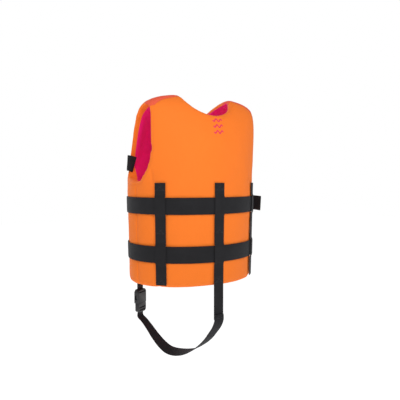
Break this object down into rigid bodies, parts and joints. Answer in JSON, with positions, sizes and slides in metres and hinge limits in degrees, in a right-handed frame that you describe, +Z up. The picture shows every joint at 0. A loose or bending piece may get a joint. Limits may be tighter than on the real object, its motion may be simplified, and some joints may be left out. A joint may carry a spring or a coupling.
{
  "type": "life jacket",
  "caption": "Sleeveless foam buoyancy jacket with front zip, side-release buckle belts held by vertical webbing keepers, and an adjustable crotch strap.",
  "frame": {"origin": "midway between the two shoulders, at the height of their underside, where the wearer's shoulders carry the jacket", "axes": "+Z up, -Y is the front with the zip, +Y is the wearer's back, +X is the wearer's left"},
  "size_m": [0.3431, 0.2881, 0.6281],
  "materials": {
    "cover_fabric": "matt orange stretch fabric over foam",
    "shoulder_fabric": "matt coral stretch fabric",
    "lining": "matt deep pink knitted lining",
    "foam": "closed-cell buoyancy foam, pale",
    "webbing": "black polyester webbing",
    "zip_tape": "black woven zip tape",
    "plastic": "moulded black plastic"
  },
  "bodies": {
    "jacket": {"back_cover": "cover_fabric", "back_foam": "foam", "back_lining": "lining", "chest_buckle_female": "plastic", "chest_strap_left": "webbing", "chest_strap_right": "webbing", "crotch_buckle_female": "plastic", "crotch_strap": "webbing", "front_left_cover": "cover_fabric", "front_left_foam": "foam", "front_left_lining": "lining", "front_right_cover": "cover_fabric", "front_right_foam": "foam", "front_right_lining": "lining", "keeper_back_centre": "webbing", "keeper_back_left": "webbing", "keeper_back_right": "webbing", "keeper_front_left": "webbing", "keeper_front_right": "webbing", "lower_belt": "webbing", "lower_belt_tail": "webbing", "lower_buckle_female": "plastic", "mid_belt": "webbing", "mid_belt_tail": "webbing", "mid_buckle_female": "plastic", "shoulder_left_cover": "shoulder_fabric", "shoulder_left_foam": "foam", "shoulder_left_lining": "lining", "shoulder_right_cover": "shoulder_fabric", "shoulder_right_foam": "foam", "shoulder_right_lining": "lining", "side_left_cover": "cover_fabric", "side_left_foam": "foam", "side_left_lining": "lining", "side_right_cover": "cover_fabric", "side_right_foam": "foam", "side_right_lining": "lining", "zip_bottom_stop": "plastic", "zip_tape_left": "zip_tape", "zip_tape_right": "zip_tape", "zip_teeth_left": "plastic", "zip_teeth_right": "plastic"},
    "zip_slider": {"zip_slider": "plastic"},
    "zip_pull": {"zip_pull": "plastic"},
    "chest_male": {"chest_buckle_male": "plastic"},
    "chest_prong_a": {"chest_buckle_prong_a": "plastic"},
    "chest_prong_b": {"chest_buckle_prong_b": "plastic"},
    "mid_male": {"mid_buckle_male": "plastic"},
    "mid_prong_a": {"mid_buckle_prong_a": "plastic"},
    "mid_prong_b": {"mid_buckle_prong_b": "plastic"},
    "lower_male": {"lower_buckle_male": "plastic"},
    "lower_prong_a": {"lower_buckle_prong_a": "plastic"},
    "lower_prong_b": {"lower_buckle_prong_b": "plastic"},
    "crotch_male": {"crotch_buckle_male": "plastic"},
    "crotch_prong_a": {"crotch_buckle_prong_a": "plastic"},
    "crotch_prong_b": {"crotch_buckle_prong_b": "plastic"}
  },
  "joints": [
    {"name": "zip_slide", "type": "slide", "parent": "jacket", "child": "zip_slider", "axis": [0, -0.4021, -0.9156], "range_m": [0, 0.006]},
    {"name": "zip_pull_hinge", "type": "hinge", "parent": "zip_slider", "child": "zip_pull", "pos_m": [0, -0.1829, -0.07394], "axis": [-1, 0, 0], "range_deg": [0, 150]},
    {"name": "chest_buckle_release", "type": "slide", "parent": "jacket", "child": "chest_male", "axis": [-1, 0, 0], "range_m": [0, 0.025], "deforming": ["chest_buckle_prong_a", "chest_buckle_prong_b", "chest_strap_right"]},
    {"name": "chest_prong_a_squeeze", "type": "hinge", "parent": "chest_male", "child": "chest_prong_a", "pos_m": [0.00015, -0.19459, -0.108], "axis": [0, 0.9864, -0.1644], "range_deg": [0, 8], "stiffness_Nm_per_rad": 0.4},
    {"name": "chest_prong_b_squeeze", "type": "hinge", "parent": "chest_male", "child": "chest_prong_b", "pos_m": [0.00015, -0.20044, -0.14311], "axis": [0, -0.9864, 0.1644], "range_deg": [0, 8], "stiffness_Nm_per_rad": 0.4},
    {"name": "mid_buckle_release", "type": "slide", "parent": "jacket", "child": "mid_male", "axis": [-1, 0, 0], "range_m": [0, 0.025], "deforming": ["mid_buckle_prong_a", "mid_buckle_prong_b", "mid_belt", "mid_belt_tail"]},
    {"name": "mid_prong_a_squeeze", "type": "hinge", "parent": "mid_male", "child": "mid_prong_a", "pos_m": [0.00015, -0.2007, -0.21033], "axis": [0, 0.9998, 0.0174], "range_deg": [0, 8], "stiffness_Nm_per_rad": 0.4},
    {"name": "mid_prong_b_squeeze", "type": "hinge", "parent": "mid_male", "child": "mid_prong_b", "pos_m": [0.00015, -0.20008, -0.24593], "axis": [0, -0.9998, -0.0174], "range_deg": [0, 8], "stiffness_Nm_per_rad": 0.4},
    {"name": "lower_buckle_release", "type": "slide", "parent": "jacket", "child": "lower_male", "axis": [-1, 0, 0], "range_m": [0, 0.025], "deforming": ["lower_buckle_prong_a", "lower_buckle_prong_b", "lower_belt", "lower_belt_tail"]},
    {"name": "lower_prong_a_squeeze", "type": "hinge", "parent": "lower_male", "child": "lower_prong_a", "pos_m": [0.00015, -0.19879, -0.31993], "axis": [0, 0.9998, 0.0174], "range_deg": [0, 8], "stiffness_Nm_per_rad": 0.4},
    {"name": "lower_prong_b_squeeze", "type": "hinge", "parent": "lower_male", "child": "lower_prong_b", "pos_m": [0.00015, -0.19818, -0.35553], "axis": [0, -0.9998, -0.0174], "range_deg": [0, 8], "stiffness_Nm_per_rad": 0.4},
    {"name": "crotch_buckle_release", "type": "slide", "parent": "jacket", "child": "crotch_male", "axis": [0, 0, -1], "range_m": [0, 0.025], "deforming": ["crotch_buckle_prong_a", "crotch_buckle_prong_b", "crotch_strap"]},
    {"name": "crotch_prong_a_squeeze", "type": "hinge", "parent": "crotch_male", "child": "crotch_prong_a", "pos_m": [0.08819, -0.17135, -0.49385], "axis": [-0.5372, 0.8434, 0], "range_deg": [0, 8], "stiffness_Nm_per_rad": 0.4},
    {"name": "crotch_prong_b_squeeze", "type": "hinge", "parent": "crotch_male", "child": "crotch_prong_b", "pos_m": [0.10726, -0.15921, -0.49385], "axis": [0.5372, -0.8434, 0], "range_deg": [0, 8], "stiffness_Nm_per_rad": 0.4}
  ]
}
